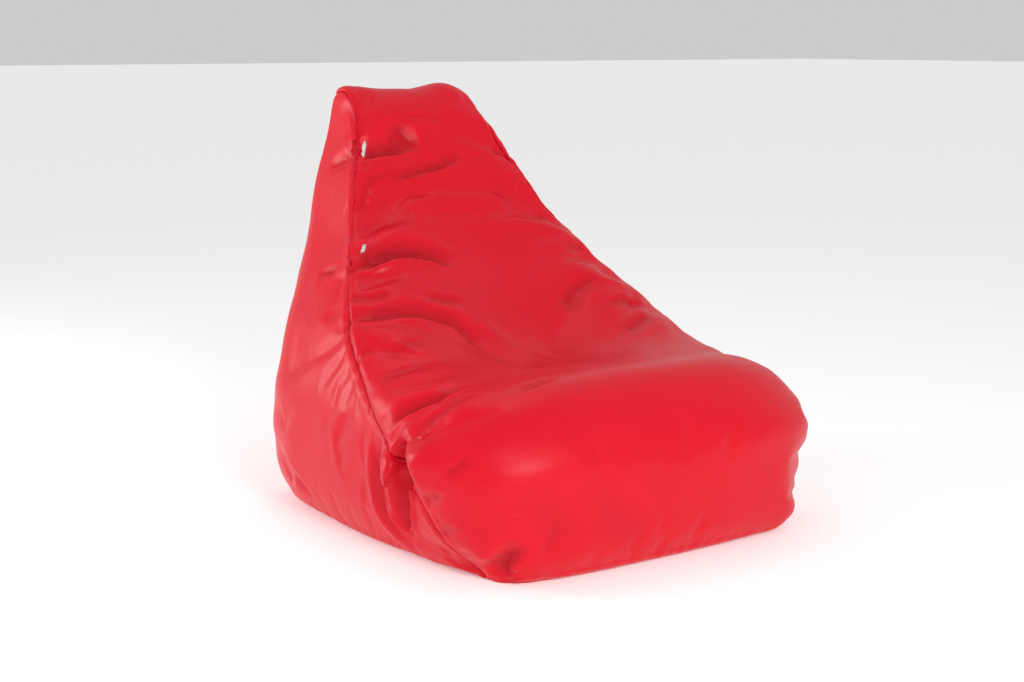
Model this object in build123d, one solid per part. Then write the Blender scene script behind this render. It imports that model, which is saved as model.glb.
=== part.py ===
from build123d import *
import os

# Bean bag lounger. Millimetres, +Z up, the seat faces -Y.
# The origin lies on the floor, in the middle of the bag's width and depth.

# Outer shape of the filled bag
bag_width = 840.0          # across the belly of the side panels
bag_depth = 1000.0         # from the nose of the seat to the rear edge of the top
bag_height = 800.0
base_width = 670.0
base_setback_front = 75.0  # from the nose back to the front edge of the base
base_setback_rear = 95.0   # from the rear of the top forward to the upright rear band
belly_height = 145.0       # height of the widest and furthest forward line
shoulder_height = 270.0    # where the side bulge ends
shoulder_drop_in = 35.0    # from the belly in to the shoulder, on each side
lip_height = 290.0         # front lip of the seat
lip_setback = 80.0
top_width = 256.0
top_depth = 155.0
seat_sag = 170.0           # depth of the seat and back rest below a straight line
rear_band_height = 260.0   # height of the upright band that carries the zips
seam_wrap = 100.0          # how far the front panel wraps down over each side
seam_tuck_height = 190.0   # seam height at the tuck below the seat's lip
seam_sag = 185.0           # sag of the side seam between its tuck and the top
seam_top_setback = 30.0    # from the rear of the top forward to the seam's end

# Cloth layers
cover_cloth = 1.6
liner_cloth = 1.0
liner_gap = 7.0            # from the cover's outside to the liner's outside, on the walls
floor_gap = 0.3            # between the cover's base and the liner's base
fill_gap = 0.4             # between the liner and the beads

# Zips, the same size in both bags
zip_tape_width = 16.0
zip_tape = 0.8
zip_row_gap = 0.7          # from the zip's centre line to the tips of one row of teeth
zip_row_width = 1.9
zip_row = 2.4              # thickness of a row of teeth
tooth_pitch = 4.0
tooth_length = 0.9
tooth_width = 2.2
zip_end = 6.0              # from the end of the slot to the end of the teeth
slot_half = 6.0            # half the height of the slot in the cloth
stop_length = 3.0
cover_zip_length = 560.0
cover_zip_height = 110.0
liner_zip_length = 500.0
liner_zip_height = 200.0

# Zip sliders and the pull
slider_length = 10.0
slider_half = 5.2
slider_plate = 1.2
slider_flange = 1.0
slider_post = 0.8
slider_post_length = 3.0
running_gap = 0.3          # between a slider and what it runs on
slider_corner = 2.0
pull_bar = 1.6             # diameter of the pull's cross bar
pull_bar_gap = 0.2
pull_plate = 1.2
pull_width = 8.0
pull_length = 24.0
pull_eye_width = 4.0
pull_eye_length = 4.6
bridge_width = 3.0
bridge_wall = 1.2
lock_cap_length = 5.0
lock_cap = 1.2

# Care label
label_width = 35.0
label_length = 50.0
label_cloth = 0.6
label_from_zip = 18.0

# Places that follow from the sizes above
front = -bag_depth / 2
rear = bag_depth / 2
rear_band = rear - base_setback_rear
overrun = 100.0            # how far the tool solids run past the bag
big = 2 * max(bag_width, bag_depth, bag_height)


def block(x, y, z):
    """A box between the low and high values given for each axis."""
    spans = [high - low for low, high in (x, y, z)]
    middle = [(high + low) / 2 for low, high in (x, y, z)]
    return Pos(*middle) * Box(*spans)


def side_outline(inset):
    """The bag seen from the side: nose, seat and back rest, top, rear and base."""
    foot = (front + base_setback_front, 0)
    nose = (front, belly_height)
    lip = (front + lip_setback, lip_height)
    top_front = (rear - top_depth, bag_height)
    edges = [
        TangentArc(nose, foot, tangent=(0, -1)),
        TangentArc(nose, lip, tangent=(0, 1)),
        SagittaArc(lip, top_front, -seat_sag),
        Polyline(top_front, (rear, bag_height), (rear_band, rear_band_height), (rear_band, 0), foot),
    ]
    return inset_face(edges, inset)


def front_outline(inset):
    """The bag seen from the front, run past the floor and the top so that only its sides count."""
    halves = []
    for side in (-1, 1):
        foot = (side * base_width / 2, 0)
        belly = (side * bag_width / 2, belly_height)
        shoulder = (side * (bag_width / 2 - shoulder_drop_in), shoulder_height)
        lean = (top_width / 2 - side * shoulder[0]) / (bag_height - shoulder_height)
        peak = (side * (top_width / 2 + lean * overrun), bag_height + overrun)
        halves.append((foot, belly, shoulder, peak))
    edges = []
    for foot, belly, shoulder, peak in halves:
        edges.append(TangentArc(belly, foot, tangent=(0, -1)))
        edges.append(TangentArc(belly, shoulder, tangent=(0, 1)))
        edges.append(Line(shoulder, peak))
        edges.append(Line(foot, (foot[0], -overrun)))
    edges.append(Line(halves[0][3], halves[1][3]))
    edges.append(Line((halves[0][0][0], -overrun), (halves[1][0][0], -overrun)))
    return inset_face(edges, inset)


def inset_face(edges, inset):
    """A face bounded by the edges, drawn in by the inset."""
    face = make_face(edges)
    return offset(face, -inset) if inset else face


def side_prism(inset):
    """The side outline carried right across the bag."""
    return extrude(Plane.YZ * side_outline(inset), big, both=True)


def front_prism(inset):
    """The front outline carried right through the bag from front to rear."""
    return extrude(Plane.XZ * front_outline(inset), big, both=True)


def bag_solid(inset):
    """The filled bag's shape, drawn in by the inset on every side and at the base."""
    return side_prism(inset) & front_prism(inset)


def behind_side_seam(shift):
    """Everything behind the side seam, which runs from the top's rear, over the tuck, to the front foot."""
    tuck = (front + lip_setback + seam_wrap + shift, seam_tuck_height)
    top = (rear - seam_top_setback - shift, bag_height)
    foot = (front + base_setback_front + shift, 0)
    past_top = (top[0], bag_height + overrun)
    past_foot = (foot[0], -overrun)
    edges = [
        SagittaArc(tuck, top, -seam_sag),
        Polyline(tuck, foot, past_foot, (big, -overrun), (big, bag_height + overrun), past_top, top),
    ]
    return extrude(Plane.YZ * make_face(edges), big, both=True)


def rear_wall_zone(shift):
    """Everything behind a line that meets the rear wall only at the top's rear edge."""
    corner = (rear - shift, bag_height - shift)
    inner = (corner[0] - overrun, corner[1] - overrun)
    outer = (corner[0] + overrun, corner[1] + overrun)
    outline = make_face(Polyline((0, -overrun), inner, outer, (big, -overrun), close=True))
    return extrude(Plane.YZ * outline, big, both=True)


def zip_slot(height, length):
    """The slot in the rear wall that the teeth show through."""
    return block((-length / 2, length / 2), (0, big), (height - slot_half, height + slot_half))


def sewn_bag(inset, cloth, drop, zip_height, zip_length):
    """The six cloth panels of a bag whose outside is drawn in by the inset, let down by the drop."""
    outside = bag_solid(inset)
    cavity = bag_solid(inset + cloth)
    between_sides = front_prism(inset + cloth)
    base_zone = block((-big, big), (-big, big), (-big, inset + cloth))
    walls = outside - cavity - base_zone
    flanks = (outside - between_sides - base_zone) & behind_side_seam(inset)
    rear_wall = walls & between_sides & rear_wall_zone(inset)
    slot = zip_slot(zip_height + drop, zip_length)
    below = block((-big, big), (-big, big), (-big, zip_height + drop))
    panels = {
        "base_panel": outside & base_zone,
        "left_side_panel": flanks & block((-big, 0), (-big, big), (-big, big)),
        "right_side_panel": flanks & block((0, big), (-big, big), (-big, big)),
        "front_panel": walls - flanks - rear_wall,
        "back_panel": rear_wall - below - slot,
        "lower_back_panel": (rear_wall & below) - slot,
    }
    return {name: Pos(0, 0, -drop) * panel for name, panel in panels.items()}


def tooth_row(length, side):
    """One row of teeth on its spine, drawn in the plane of the tape and centred on it."""
    spine_width = zip_row_width - tooth_length
    spine_middle = side * (zip_row_gap + tooth_length + spine_width / 2)
    tooth_middle = side * (zip_row_gap + tooth_length / 2)
    count = int((length - tooth_width) // tooth_pitch) + 1
    spine = Pos(0, spine_middle) * Rectangle(length, spine_width)
    teeth = [
        Pos((step - (count - 1) / 2) * tooth_pitch, tooth_middle) * Rectangle(tooth_width, tooth_length)
        for step in range(count)
    ]
    return extrude(Plane.XZ * (spine + teeth), zip_row / 2, both=True)


def zip_pieces(wall, cloth, height, length):
    """Tapes, teeth and stops of one zip, its tapes lying against the inside of the wall."""
    tape_face = wall - cloth
    tape_middle = tape_face - zip_tape / 2
    tape_edge = zip_row_gap + zip_row_width
    tape_reach = tape_edge + zip_tape_width
    row_end = length / 2 - zip_end
    row_y = (tape_middle - zip_row / 2, tape_middle + zip_row / 2)
    pieces = {}
    for name, side in (("upper", 1), ("lower", -1)):
        tape_z = sorted((height + side * tape_edge, height + side * tape_reach))
        pieces["zip_tape_" + name] = block(
            (-length / 2 - zip_end, length / 2 + zip_end), (tape_face - zip_tape, tape_face), tape_z
        )
        pieces["zip_teeth_" + name] = Pos(0, tape_middle, height) * tooth_row(2 * row_end, side)
    stop_z = [sorted((height + side * zip_row_gap, height + side * tape_edge)) for side in (-1, 1)]
    pieces["zip_top_stops"] = Compound(
        [block((row_end, row_end + stop_length), row_y, z) for z in stop_z]
    )
    pieces["zip_bottom_stop"] = block(
        (-row_end - stop_length, -row_end), row_y, (height - tape_edge, height + tape_edge)
    )
    return pieces


def slider_home(length):
    """Where a closed zip's slider stands along the zip, just short of the top stops."""
    return length / 2 - zip_end - slider_length / 2


def slider_outer_face(wall, cloth):
    """The outer face of a slider's outer plate."""
    return wall - cloth - zip_tape / 2 + zip_row / 2 + running_gap + slider_plate


def zip_slider(wall, cloth, height, length):
    """Two plates with turned-in flanges either side of the teeth, joined by a post between the rows."""
    home = slider_home(length)
    tape_middle = wall - cloth - zip_tape / 2
    plate_start = zip_row / 2 + running_gap
    flange_start = zip_tape / 2 + running_gap
    plate = RectangleRounded(slider_length, 2 * slider_half, slider_corner)
    solid = None
    for side in (-1, 1):
        middle = side * (plate_start + slider_plate / 2)
        wing = extrude(Plane.XZ.offset(-middle) * plate, slider_plate / 2, both=True)
        solid = wing if solid is None else solid + wing
        depth = sorted((side * flange_start, side * (plate_start + slider_plate / 2)))
        straight = slider_length / 2 - slider_corner
        for edge in (-1, 1):
            across = sorted((edge * slider_half, edge * (slider_half - slider_flange)))
            solid += block((-straight, straight), depth, across)
    post_end = slider_length / 2 - slider_corner / 2
    solid += block(
        (post_end - slider_post_length, post_end),
        (-plate_start - slider_plate / 2, plate_start + slider_plate / 2),
        (-slider_post / 2, slider_post / 2),
    )
    return Pos(home, tape_middle, height) * solid


def pull_axis_depth(wall, cloth):
    """How far back the cross bar of the pull lies."""
    return slider_outer_face(wall, cloth) + pull_bar_gap + pull_bar / 2


def slider_bridge(wall, cloth, height, length):
    """The arch on the cover's slider that traps the cross bar of the pull."""
    face = slider_outer_face(wall, cloth)
    inside = pull_bar / 2 + 2 * pull_bar_gap
    reach = inside + bridge_wall
    roof = pull_axis_depth(wall, cloth) + pull_bar / 2 + pull_bar_gap
    half = bridge_width / 2
    arch = block((-reach, reach), (face - slider_plate / 2, roof + bridge_wall), (-half, half))
    arch -= block((-inside, inside), (face, roof), (-half, half))
    return Pos(slider_home(length), 0, height) * arch


def zip_pull(wall, cloth, height, length):
    """The flat pull: a cross bar under the bridge, two rails beside it and a rounded plate."""
    outline = Pos(-pull_length / 2) * Rectangle(pull_length, pull_width)
    outline = fillet(outline.vertices().group_by(Axis.X)[0], pull_width / 3)
    outline -= Pos(-pull_eye_length / 2) * Rectangle(pull_eye_length, pull_eye_width)
    plate = extrude(Plane.XZ * outline, pull_plate / 2, both=True)
    bar = Cylinder(pull_bar / 2, pull_width)
    return Pos(slider_home(length), pull_axis_depth(wall, cloth), height) * (plate + bar)


def lock_cap_block(wall, cloth, height, length):
    """The cap on the liner's slider, which has no pull."""
    face = slider_outer_face(wall, cloth)
    cap = block(
        (-lock_cap_length / 2, lock_cap_length / 2),
        (face - slider_plate / 2, face + lock_cap),
        (-bridge_width / 2, bridge_width / 2),
    )
    return Pos(slider_home(length), 0, height) * cap


def bead_fill(drop):
    """The beads as one block inside the liner, with room behind the liner's zip."""
    fill_inset = liner_gap + liner_cloth + fill_gap
    inner_face = rear_band - liner_gap - liner_cloth - zip_tape / 2 - zip_row / 2
    pocket_depth = inner_face - running_gap - slider_plate - floor_gap
    reach = zip_row_gap + zip_row_width + zip_tape_width + fill_gap
    half = liner_zip_length / 2 + zip_end + fill_gap
    pocket = block((-half, half), (pocket_depth, big), (liner_zip_height - reach, liner_zip_height + reach))
    return Pos(0, 0, -drop) * bag_solid(fill_inset) - pocket


def care_label():
    """A blank label caught in the cross seam beside the cover's zip, hanging on the lower back panel."""
    start = -cover_zip_length / 2 - label_from_zip
    return block(
        (start - label_width, start),
        (rear_band, rear_band + label_cloth),
        (cover_zip_height - label_length, cover_zip_height),
    )


def build_nodes():
    """Every separate piece by name."""
    cover_wall = (rear_band, cover_cloth, cover_zip_height, cover_zip_length)
    liner_wall = (rear_band - liner_gap, liner_cloth, liner_zip_height, liner_zip_length)
    drop = liner_gap - cover_cloth - floor_gap
    nodes = {}
    for name, panel in sewn_bag(0, cover_cloth, 0, cover_zip_height, cover_zip_length).items():
        nodes["cover_" + name] = panel
    for name, panel in sewn_bag(liner_gap, liner_cloth, drop, liner_zip_height, liner_zip_length).items():
        nodes["liner_" + name] = panel
    for name, piece in zip_pieces(*cover_wall).items():
        nodes["cover_" + name] = piece
    for name, piece in zip_pieces(*liner_wall).items():
        nodes["liner_" + name] = piece
    nodes["cover_zip_slider"] = zip_slider(*cover_wall) + slider_bridge(*cover_wall)
    nodes["cover_zip_pull"] = zip_pull(*cover_wall)
    nodes["liner_zip_slider"] = zip_slider(*liner_wall) + lock_cap_block(*liner_wall)
    nodes["bead_fill"] = bead_fill(drop)
    nodes["care_label"] = care_label()
    return nodes


def main():
    """Write one STEP file for each piece."""
    os.makedirs("parts", exist_ok=True)
    for name, shape in build_nodes().items():
        export_step(shape, os.path.join("parts", name + ".step"))
    print("pull axis, m:", slider_home(cover_zip_length) / 1000,
          pull_axis_depth(rear_band, cover_cloth) / 1000, cover_zip_height / 1000)
    print("cover slider travel, m:", (cover_zip_length - 2 * zip_end - slider_length) / 1000)
    print("liner slider travel, m:", (liner_zip_length - 2 * zip_end - slider_length) / 1000)


main()
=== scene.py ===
"""A bean bag lounger: sewn cloth cover, zips, liner and beads, built around its frame of real sizes."""

import math

import bmesh
import bpy
import numpy as np
from bpy.props import FloatProperty, FloatVectorProperty, IntProperty, PointerProperty
from mathutils import Matrix, Vector, noise
from mathutils.bvhtree import BVHTree
from mathutils.kdtree import KDTree


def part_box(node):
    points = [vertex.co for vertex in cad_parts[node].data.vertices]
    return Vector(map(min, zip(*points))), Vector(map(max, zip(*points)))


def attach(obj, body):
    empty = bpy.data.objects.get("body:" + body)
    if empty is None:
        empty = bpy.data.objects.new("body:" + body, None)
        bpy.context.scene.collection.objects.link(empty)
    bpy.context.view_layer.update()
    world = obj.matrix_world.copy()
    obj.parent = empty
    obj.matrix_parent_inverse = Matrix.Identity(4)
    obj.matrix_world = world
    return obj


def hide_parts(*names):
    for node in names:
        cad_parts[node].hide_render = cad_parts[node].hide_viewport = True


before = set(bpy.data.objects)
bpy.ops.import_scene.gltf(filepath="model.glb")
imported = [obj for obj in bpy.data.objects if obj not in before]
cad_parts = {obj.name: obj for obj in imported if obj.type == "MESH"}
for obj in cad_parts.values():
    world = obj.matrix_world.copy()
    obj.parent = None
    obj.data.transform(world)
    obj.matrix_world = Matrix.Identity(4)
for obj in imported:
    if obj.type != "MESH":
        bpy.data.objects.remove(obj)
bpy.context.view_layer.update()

bl_info = {
    "name": "Bean Bag Lounger",
    "version": (1, 0, 0),
    "blender": (4, 5, 0),
    "location": "View3D > Sidebar > Bean Bag",
    "description": "Builds a bean bag lounger with a sewn cover, zips, a liner and its beads",
    "category": "Object",
}

MM = 0.001
TINY = 1e-6

# The front panel in rows from the floor over the nose and seat to the top's rear edge. Each row gives
# its share of the panel's length, the profile in the middle (y, z) and its ends on the side seam (y, z).
PANEL_ROWS = (
    (0.00, -0.425, 0.000, -0.345, 0.000),
    (0.08, -0.462, 0.060, -0.322, 0.050),
    (0.17, -0.472, 0.145, -0.296, 0.100),
    (0.26, -0.472, 0.235, -0.262, 0.150),
    (0.33, -0.400, 0.308, -0.228, 0.190),
    (0.45, -0.235, 0.330, -0.150, 0.232),
    (0.57, -0.085, 0.358, -0.045, 0.306),
    (0.67, 0.045, 0.427, 0.055, 0.374),
    (0.76, 0.160, 0.508, 0.150, 0.464),
    (0.84, 0.255, 0.600, 0.238, 0.560),
    (0.91, 0.325, 0.709, 0.312, 0.675),
    (0.95, 0.368, 0.785, 0.362, 0.755),
    (0.975, 0.425, 0.818, 0.418, 0.798),
    (1.00, 0.498, 0.806, 0.485, 0.798),
)
LIP_SHARE = 0.33
# Half the bag's width, and the rear wall's place, at heights above the floor.
HALF_WIDTHS = (
    (0.0, 0.315), (0.07, 0.388), (0.145, 0.414), (0.24, 0.414), (0.32, 0.387), (0.56, 0.247), (0.80, 0.144),
)
REAR_WALL = (
    (0.0, 0.400), (0.06, 0.405), (0.26, 0.405), (0.34, 0.418), (0.48, 0.460), (0.66, 0.495), (0.80, 0.500),
)


def curve(knots, at):
    """A smooth curve through knots of (place, value, ...), one value column for each, taken at the places."""
    table = np.array(knots, float)
    place, values = table[:, 0], table[:, 1:]
    step = np.diff(place)[:, None]
    slope = np.diff(values, axis=0) / step
    tangent = np.zeros_like(values)
    tangent[1:-1] = (slope[:-1] * step[1:] + slope[1:] * step[:-1]) / (step[1:] + step[:-1])
    tangent[0], tangent[-1] = slope[0], slope[-1]
    at = np.clip(np.asarray(at, float), place[0], place[-1])
    index = np.clip(np.searchsorted(place, at, side="right") - 1, 0, len(place) - 2)
    h = step[index]
    t = ((at - place[index]) / h[..., 0])[..., None]
    low, high = values[index], values[index + 1]
    rise, fall = tangent[index] * h, tangent[index + 1] * h
    return (
        low * (1 + 2 * t) * (1 - t) ** 2 + high * t * t * (3 - 2 * t)
        + rise * t * (1 - t) ** 2 - fall * t * t * (1 - t)
    )


# Radius of the rounding at the upright rear corners, and how far the sides and the rear of the base bow out.
REAR_CORNERS = ((0.0, 0.09), (0.15, 0.17), (0.40, 0.155), (0.65, 0.055), (0.80, 0.04))
BASE_BOW = 0.045


def half_width(z):
    return curve(HALF_WIDTHS, z)[..., 0]


def rear_wall(z):
    return curve(REAR_WALL, z)[..., 0]


def linear(hex_code):
    """An sRGB hex colour as linear red, green, blue and alpha."""
    channels = [int(hex_code[i:i + 2], 16) / 255 for i in (1, 3, 5)]
    return tuple(c / 12.92 if c <= 0.04045 else ((c + 0.055) / 1.055) ** 2.4 for c in channels) + (1.0,)


def cut_cube(cells):
    """A cube from -1 to 1 whose edges along X, Y and Z are cut into the given numbers of cells."""
    bm = bmesh.new()
    bmesh.ops.create_cube(bm, size=2)
    for axis, count in enumerate(cells):
        along = [e for e in bm.edges if abs(e.verts[0].co[axis] - e.verts[1].co[axis]) > 1.9]
        bmesh.ops.subdivide_edges(bm, edges=along, cuts=count - 1, use_grid_fill=True)
    return bm


def row_shape(across, share, roundness=3.2):
    """Points of the front panel: across it from -1 to 1, and by share of its length."""
    row = curve(PANEL_ROWS, share)
    angle_steps = np.linspace(0, np.pi / 2, 200)
    side = np.cos(angle_steps) ** (2 / roundness)
    rise = np.sin(angle_steps) ** (2 / roundness)
    width = half_width(row[:, 3])
    wrap = np.hypot(row[:, 0] - row[:, 2], row[:, 1] - row[:, 3])
    x = width[:, None] * side
    h = wrap[:, None] * rise
    length = np.concatenate(
        [
            np.zeros((len(row), 1)), np.cumsum(np.hypot(np.diff(x, axis=1), np.diff(h, axis=1)), axis=1),
        ], axis=1
    )
    goal = (1 - np.abs(across)) * length[:, -1]
    place = np.array([np.interp(g, l, angle_steps) for g, l in zip(goal, length)])
    side, rise = np.cos(place) ** (2 / roundness), np.sin(place) ** (2 / roundness)
    side[np.abs(across) < 1e-9] = 0
    return np.stack([
        np.sign(across) * width * side,
        row[:, 2] + (row[:, 0] - row[:, 2]) * rise,
        row[:, 3] + (row[:, 1] - row[:, 3]) * rise,
    ], axis=1)


def panel_share(cube):
    """Share of the front panel's length for points of the cube's front and top."""
    low = LIP_SHARE * (cube[:, 2] + 1) / 2
    high = LIP_SHARE + (1 - LIP_SHARE) * (cube[:, 1] + 1) / 2
    return np.where(cube[:, 2] > 1 - TINY, high, low)


def place_cover(cube):
    """Carry points of the cube onto the filled bag."""
    top_y, top_z = PANEL_ROWS[-1][3:5]
    foot_y = PANEL_ROWS[0][3]
    up = (cube[:, 2] + 1) / 2
    along = (cube[:, 1] + 1) / 2
    rear_z = up * top_z
    rear_y = rear_wall(rear_z) + (top_y - rear_wall(top_z)) * up ** 6
    rear = np.stack([cube[:, 0] * half_width(rear_z), rear_y, rear_z], axis=1)

    foot_row = row_shape(cube[:, 0], np.zeros(len(cube)))
    base_rear = np.stack([cube[:, 0] * half_width(0.0), 0 * up + rear_wall(0.0), 0 * up], axis=1)
    base = foot_row + (base_rear - foot_row) * along[:, None]

    # Each side is a patch between the side seam, the base and the rear wall.
    seam_low = curve(PANEL_ROWS, LIP_SHARE * up)[:, 2:4]
    seam_high = curve(PANEL_ROWS, LIP_SHARE + (1 - LIP_SHARE) * along)[:, 2:4]
    rear_edge = np.stack([rear_y, rear_z], axis=1)
    base_edge = np.stack([foot_y + (rear_wall(0.0) - foot_y) * along, 0 * along], axis=1)
    tuck = curve(PANEL_ROWS, [LIP_SHARE])[0, 2:4]
    a, u = along[:, None], up[:, None]
    patch = (1 - a) * seam_low + a * rear_edge + (1 - u) * base_edge + u * seam_high
    patch -= (1 - u) * ((1 - a) * np.array((foot_y, 0)) + a * np.array((rear_wall(0.0), 0)))
    patch -= u * ((1 - a) * tuck + a * np.array((top_y, top_z)))
    side = np.stack([np.sign(cube[:, 0]) * half_width(patch[:, 1]), patch[:, 0], patch[:, 1]], axis=1)

    panel = row_shape(cube[:, 0], panel_share(cube))
    out = side
    for mask, points in (
        (cube[:, 1] > 1 - TINY, rear), (cube[:, 2] < -1 + TINY, base), (
            np.abs(cube[:, 0]) > 1 - TINY, side,
        ),
        ((cube[:, 2] > 1 - TINY) | (cube[:, 1] < -1 + TINY), panel),
    ):
        out = np.where(mask[:, None], points, out)
    return round_rear_corners(bow_foot(out))


def bow_foot(points):
    """Let the sides of the foot bow out between its corners."""
    out = points.copy()
    low = np.clip(1 - points[:, 2] / 0.12, 0, 1) ** 1.5
    foot_y = PANEL_ROWS[0][3]
    middle = np.clip((points[:, 1] - foot_y) / (rear_wall(0.0) - foot_y), 0, 1)
    out[:, 0] *= 1 + BASE_BOW / half_width(0.0) * low * np.sin(np.pi * middle)
    return out


def round_rear_corners(points):
    """Round the two upright rear corners, drawing what lies near them in towards the bag."""
    out = points.copy()
    radius = curve(REAR_CORNERS, points[:, 2])[:, 0]
    width = half_width(points[:, 2])
    rear = rear_wall(points[:, 2])
    from_side = radius - (width - np.abs(points[:, 0]))
    from_rear = radius - (rear - points[:, 1])
    near = (from_side > 0) & (from_rear > 0)
    reach = np.hypot(from_side, from_rear)
    draw = np.where(near, np.maximum(from_side, from_rear) / np.maximum(reach, 1e-9), 1)
    out[:, 0] = np.where(near, np.sign(points[:, 0]) * (width - radius + from_side * draw), out[:, 0])
    out[:, 1] = np.where(near, rear - radius + from_rear * draw, out[:, 1])
    return out


# Broad shapes pressed into the filled bag before its cloth is drawn tight, in millimetres: the centre,
# the reach along X, Y and Z, and the depth, negative where the bag bulges.
HOLLOWS = (
    ((20, -60, 370), (190, 150, 140), 42),      # where the sitter's hips have been
    ((10, 150, 520), (110, 120, 130), 12),      # behind the sitter's waist
    ((0, -330, 330), (260, 90, 60), -10),       # beads pushed forward under the knees
    ((-425, -300, 225), (60, 60, 45), -16),     # front panel hanging over the left tuck
    ((425, -300, 225), (60, 60, 45), -14),
    ((-330, -440, 40), (32, 40, 34), 14),       # dent above the left front foot
    ((330, -435, 35), (45, 50, 28), -12),       # foot pushed out at the right front
    ((-385, 330, 60), (60, 70, 50), -10),       # and at the rear left
    ((385, 330, 60), (60, 70, 50), -10),
    ((75, 430, 820), (34, 60, 40), -8),         # knob of bunched cloth on the top
    ((0, 450, 820), (60, 60, 30), 5),
)

# Where the cloth is drawn out of line after filling, in millimetres: the centre, the reach and the shift.
PULLS = (
    ((300, -450, 20), (70, 60, 50), (22, -10, 0)),
    ((390, -400, 215), (60, 90, 60), (12, -6, 0)),
    ((-400, 330, 60), (60, 90, 50), (14, -6, 0)),
    ((-150, 430, 800), (60, 90, 60), (-8, 0, 22)),
    ((0, 430, 815), (110, 90, 50), (0, 0, 12)),
    ((95, 430, 800), (50, 90, 50), (14, 0, 8)),
    ((-425, -310, 205), (50, 50, 55), (-14, 8, 0)),
    ((-415, -185, 185), (30, 24, 50), (-16, 0, 0)),
    ((425, -310, 215), (50, 50, 40), (8, -6, 0)),
)

# Folds, in millimetres: how deep, how far each reaches to the left and to the right of its line as it
# is followed on the outside of the cloth, and the line. The deep ones are pressed in before the others.
DEEP_FOLDS = (
    # the tuck below the seat's left corner, under the front panel's overhang
    (34, 18, 26, ((-400, -195, 224), (-410, -232, 210), (-420, -256, 192), (-412, -246, 160))),
    (36, 11, 20, ((-418, -248, 215), (-414, -230, 165), (-404, -214, 115), (-392, -200, 62))),
    (
        13, 7, 16,
        (
            (-412, -146, 235), (-418, -140, 187), (-414, -136, 135), (-402, -142, 92), (-388, -168, 54),
            (-362, -200, 26),
        ),
    ),
    # the same on the right
    (28, 26, 16, ((400, -205, 222), (410, -235, 208), (418, -252, 190), (410, -242, 160))),
    (30, 20, 10, ((418, -246, 215), (414, -228, 165), (404, -212, 115), (392, -200, 62))),
    (8, 14, 7, ((412, -150, 235), (418, -146, 187), (414, -142, 135), (402, -148, 92), (388, -172, 54))),
    # pinch that runs from the left tuck up onto the seat
    (9, 24, 34, ((-410, -235, 235), (-390, -300, 262), (-345, -340, 288), (-300, -360, 298))),
    # hollow's left and right arms
    (12, 30, 45, ((-150, 10, 395), (-115, -50, 362), (-85, -110, 335), (-70, -200, 329))),
    (12, 34, 36, ((10, -85, 345), (90, -10, 375), (170, 50, 420), (215, 85, 450))),
    # pocket along the side seam at the top, left and right
    (6, 14, 16, ((-140, 420, 800), (-152, 378, 765), (-166, 344, 725), (-178, 322, 690))),
    (6, 16, 10, ((140, 420, 800), (152, 378, 765), (166, 344, 725), (178, 322, 690))),
)
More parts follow.
